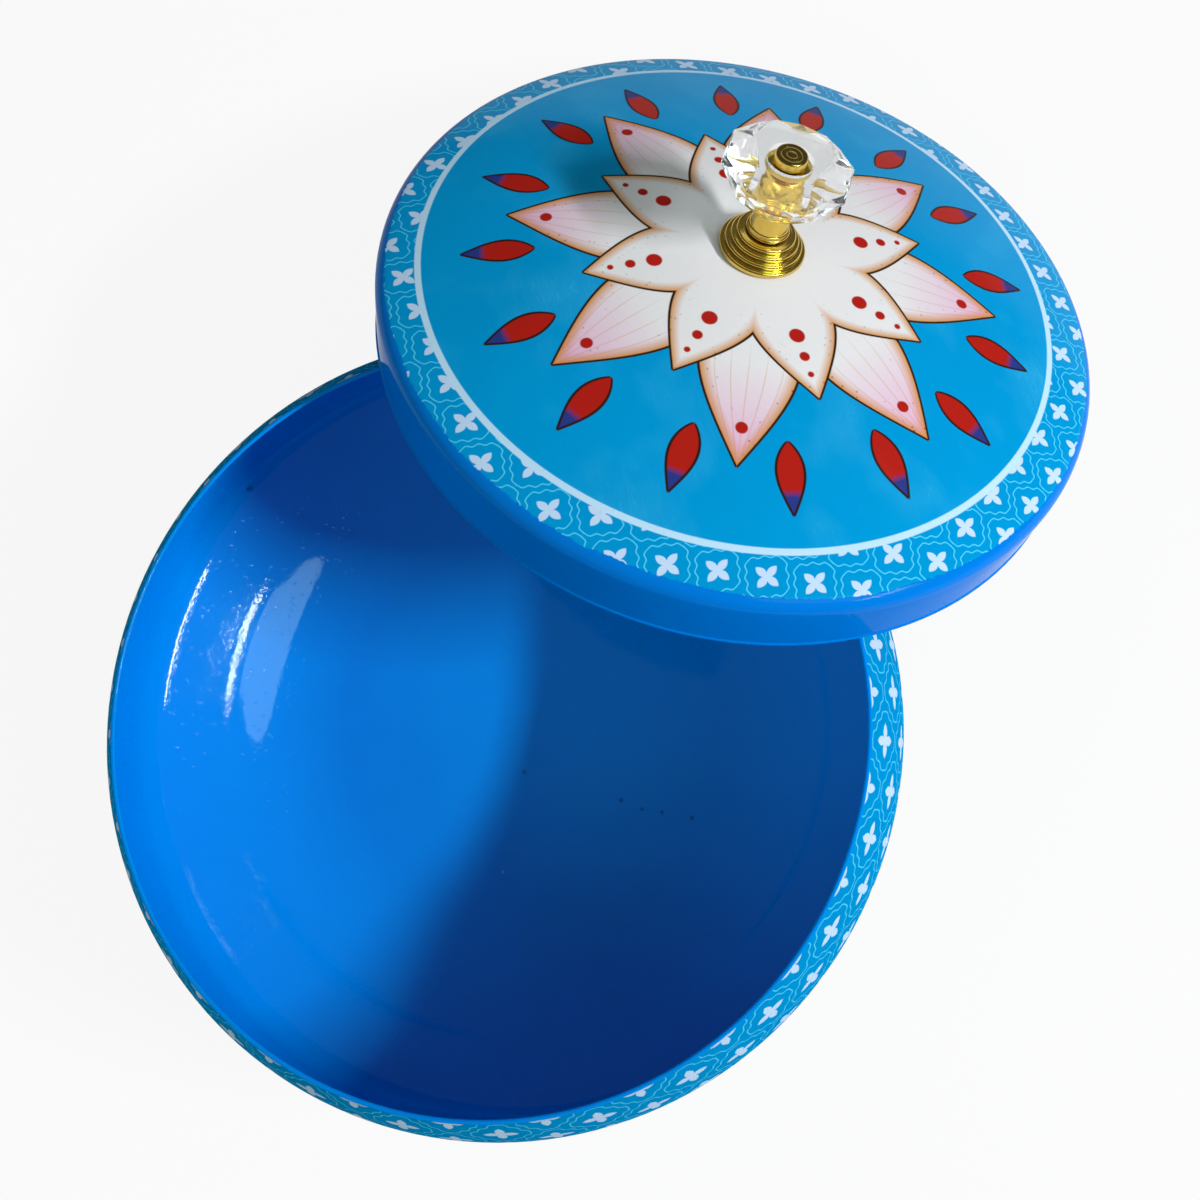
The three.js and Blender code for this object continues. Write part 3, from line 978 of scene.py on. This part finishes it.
class GIFT_TIN_OT_knob_fixing(Operator):
    """Make the washer and the hexagon nut under the lid"""

    bl_idname = "gift_tin.knob_fixing"
    bl_label = "Knob Fixing"

    def execute(self, context):
        tin = tin_settings()
        knob, lid = tin.knob, tin.lid
        feet = knob_heights(tin)
        steel = metal_material("zinc_steel", tin.colours.steel, lid, rough=0.28, lines=5)
        hole, edge = lid.bolt_hole, 0.2 * MM
        radius, tall = knob.washer_radius, knob.washer_height
        profile = [(hole, 0), (radius - edge, 0), (radius, edge), (radius, tall - edge),
                   (radius - edge, tall), (hole, tall), (hole, 0)]
        washer = turn_on_lid("washer", profile, 64, feet["washer"], 30)
        fit(washer, "lid", "knob_washer", "steel", steel)
        deselect_all()
        corner, high = knob.nut_across_flats / math.sqrt(3), knob.nut_height
        bpy.ops.mesh.primitive_cylinder_add(vertices=6, radius=corner, depth=high,
                                            location=(0, 0, high / 2), rotation=(0, 0, math.pi / 6))
        nut = bpy.context.object
        nut.name = nut.data.name = "nut"
        bpy.ops.object.transform_apply(location=True, rotation=True, scale=True)
        apply_modifier(nut, "BEVEL", width=0.3 * MM, segments=2, limit_method="ANGLE",
                       angle_limit=math.radians(40))
        bore_out(nut, [(0, -MM), (hole, -MM), (hole, high + MM), (0, high + MM)], 48)
        put_on_lid(nut, lid, feet["nut"])
        smooth(nut, 30)
        fit(nut, "lid", "knob_nut", "steel", steel)
        return {"FINISHED"}


# Places in metres, and turns in degrees, of the camera and of what the lamps aim at
CAMERA_PLACE = (0.05077, 0.0211, 0.34339)
CAMERA_TURN = (10.0778, 3.3004, 30.3769)
SKY_PLACE = (0.67, 0.15, 0.933)
ON_TIN = (0, 0.06, 0.03)
ON_WALL = (-0.08, -0.02, 0.01)
ON_NEAR_WALL = (-0.05, -0.07, 0.02)
# Strength of the world for every ray, what some rays add to it, and its tint as a light
STUDIO_LEVEL = 0.1
STUDIO_RAYS = (("Is Camera Ray", 0.84), ("Is Transmission Ray", 0.8), ("Is Diffuse Ray", 0.11))
STUDIO_TINT = (0.9, 1, 0.92)


class GIFT_TIN_OT_stage(Operator):
    """Set up the table, the lamps and the camera"""

    bl_idname = "gift_tin.stage"
    bl_label = "Stage"

    def lamp(self, name, place, aim, size, power, tint=WHITE, lights=True, shines=True,
             shape="RECTANGLE"):
        """Adds an area lamp that lights the paint, shines in its gloss, or both."""
        deselect_all()
        bpy.ops.object.light_add(type="AREA", location=place)
        lamp = bpy.context.object
        lamp.name = lamp.data.name = name
        lamp.data.shape = shape
        lamp.data.size, lamp.data.size_y = size
        lamp.data.energy = power
        lamp.data.color = tint
        lamp.visible_diffuse = lights
        lamp.visible_glossy = shines
        back = lamp.location - Vector(aim)
        lamp.rotation_euler = back.to_track_quat("Z", "Y").to_euler()

    def execute(self, context):
        tin = tin_settings()
        scene = context.scene
        deselect_all()
        bpy.ops.mesh.primitive_plane_add(size=6, location=(0, 0, -0.0002))
        floor = context.object
        floor.name = floor.data.name = "table"
        floor.data.materials.append(floor_material(tin.colours.floor))
        bpy.ops.object.camera_add(location=CAMERA_PLACE,
                                  rotation=[math.radians(turn) for turn in CAMERA_TURN])
        camera = context.object
        camera.data.sensor_width = 36
        camera.data.lens = 34.857
        camera.data.shift_x = -0.0391
        camera.data.shift_y = -0.0512
        camera.data.clip_start = 0.01
        scene.camera = camera
        self.lamp("window", (0.901, 0.37, 0.702), ON_TIN, (0.34, 0.07), 14.6, shines=False)
        self.lamp("strip", (0.801, 0.218, 0.623), ON_WALL, (0.38, 0.06), 3.2, (0.84, 1, 0.92),
                  lights=False)
        self.lamp("sky", SKY_PLACE, ON_WALL, (0.66, 0.47), 3.0, (0.55, 0.97, 1), lights=False,
                  shape="ELLIPSE")
        self.lamp("door", (0.282, 0.794, 0.611), ON_NEAR_WALL, (0.26, 0.025), 0.08, (0.6, 0.97, 1),
                  lights=False)
        self.lamp("fill", SKY_PLACE, ON_WALL, (0.5, 0.44), 1.6, (0.8, 0.98, 1), shines=False)
        self.lamp("front", (-0.35, -1.0, 0.9), ON_TIN, (1.2, 0.5), 5.5, (1, 0.98, 0.86), shines=False)
        scene.world = scene.world or bpy.data.worlds.new("studio")
        studio = Graph(scene.world, "Background")
        level = STUDIO_LEVEL
        for kind, share in STUDIO_RAYS:
            level = level + share * studio.ray(kind)
        tint = studio.mix(studio.ray("Is Diffuse Ray"), WHITE, STUDIO_TINT)
        studio.finish(Color=tint, Strength=level)
        scene.view_settings.view_transform = "Standard"
        return {"FINISHED"}


class VIEW3D_PT_gift_tin(Panel):
    bl_label = "Gift Tin"
    bl_space_type = "VIEW_3D"
    bl_region_type = "UI"
    bl_category = "Gift Tin"

    def draw(self, context):
        tin = tin_settings()
        for operator in PIECES:
            self.layout.operator(operator.bl_idname)
        for group in (tin.bowl, tin.lid, tin.knob, tin.colours):
            box = self.layout.box()
            for name in group.__annotations__:
                box.prop(group, name)


PIECES = (
    GIFT_TIN_OT_stage,
    GIFT_TIN_OT_bowl,
    GIFT_TIN_OT_lid,
    GIFT_TIN_OT_knob_foot,
    GIFT_TIN_OT_knob_crystal,
    GIFT_TIN_OT_knob_cap,
    GIFT_TIN_OT_knob_fixing,
)
CLASSES = (BowlSizes, LidSizes, KnobSizes, TinColours, GiftTin, *PIECES, VIEW3D_PT_gift_tin)


def register():
    for cls in CLASSES:
        bpy.utils.register_class(cls)
    bpy.types.Scene.gift_tin = PointerProperty(type=GiftTin)


def unregister():
    del bpy.types.Scene.gift_tin
    for cls in reversed(CLASSES):
        bpy.utils.unregister_class(cls)


def main():
    register()
    bpy.ops.gift_tin.stage()
    bpy.ops.gift_tin.bowl()
    bpy.ops.gift_tin.lid()
    bpy.ops.gift_tin.knob_foot()
    bpy.ops.gift_tin.knob_crystal()
    bpy.ops.gift_tin.knob_cap()
    bpy.ops.gift_tin.knob_fixing()


if __name__ == "__main__":
    main()
